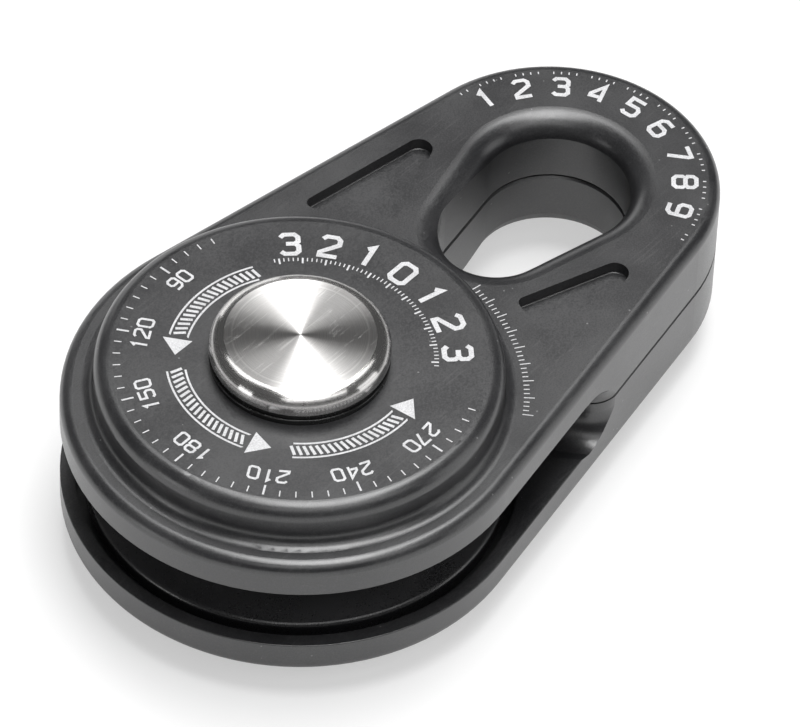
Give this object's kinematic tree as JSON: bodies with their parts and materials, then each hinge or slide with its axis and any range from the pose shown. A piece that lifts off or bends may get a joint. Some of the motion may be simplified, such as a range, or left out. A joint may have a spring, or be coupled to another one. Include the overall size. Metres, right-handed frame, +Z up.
{
  "type": "snatch block",
  "caption": "Cheek plates with a tow eye around a grooved rope sheave on a headed axle pin; the upper plate swings aside so that a rope can be laid over the sheave.",
  "frame": {"origin": "on the axle axis, in the plane of the lower boss's flat and the pin's end, which the block rests on", "axes": "+X from the axle towards the tow eye, +Z up along the axle towards the pin's head"},
  "size_m": [0.1929, 0.114, 0.0653],
  "materials": {
    "plate": "hard anodised, satin charcoal",
    "sheave": "hard anodised, black",
    "pin": "turned face, polished rim",
    "seal": "smooth black",
    "bronze": "turned bearing bronze",
    "zinc": "zinc plated",
    "spring": "oiled spring steel"
  },
  "bodies": {
    "frame": {"lower_side_plate": "plate", "axle_pin": "pin", "head_seal_ring": "seal", "upper_thrust_washer": "bronze", "lower_thrust_washer": "bronze", "backing_washer": "zinc", "disc_spring": "spring", "retaining_ring": "spring"},
    "swing_plate": {"upper_side_plate": "plate", "plate_liner": "bronze"},
    "rope_sheave": {"sheave": "sheave", "sheave_bushing": "bronze"}
  },
  "joints": [
    {"name": "plate_swing", "type": "hinge", "parent": "frame", "child": "swing_plate", "pos_m": [0, 0, 0.0278], "axis": [0, 0, 1], "continuous": true},
    {"name": "sheave_spin", "type": "hinge", "parent": "frame", "child": "rope_sheave", "pos_m": [0, 0, 0.0278], "axis": [0, 0, 1], "continuous": true}
  ]
}
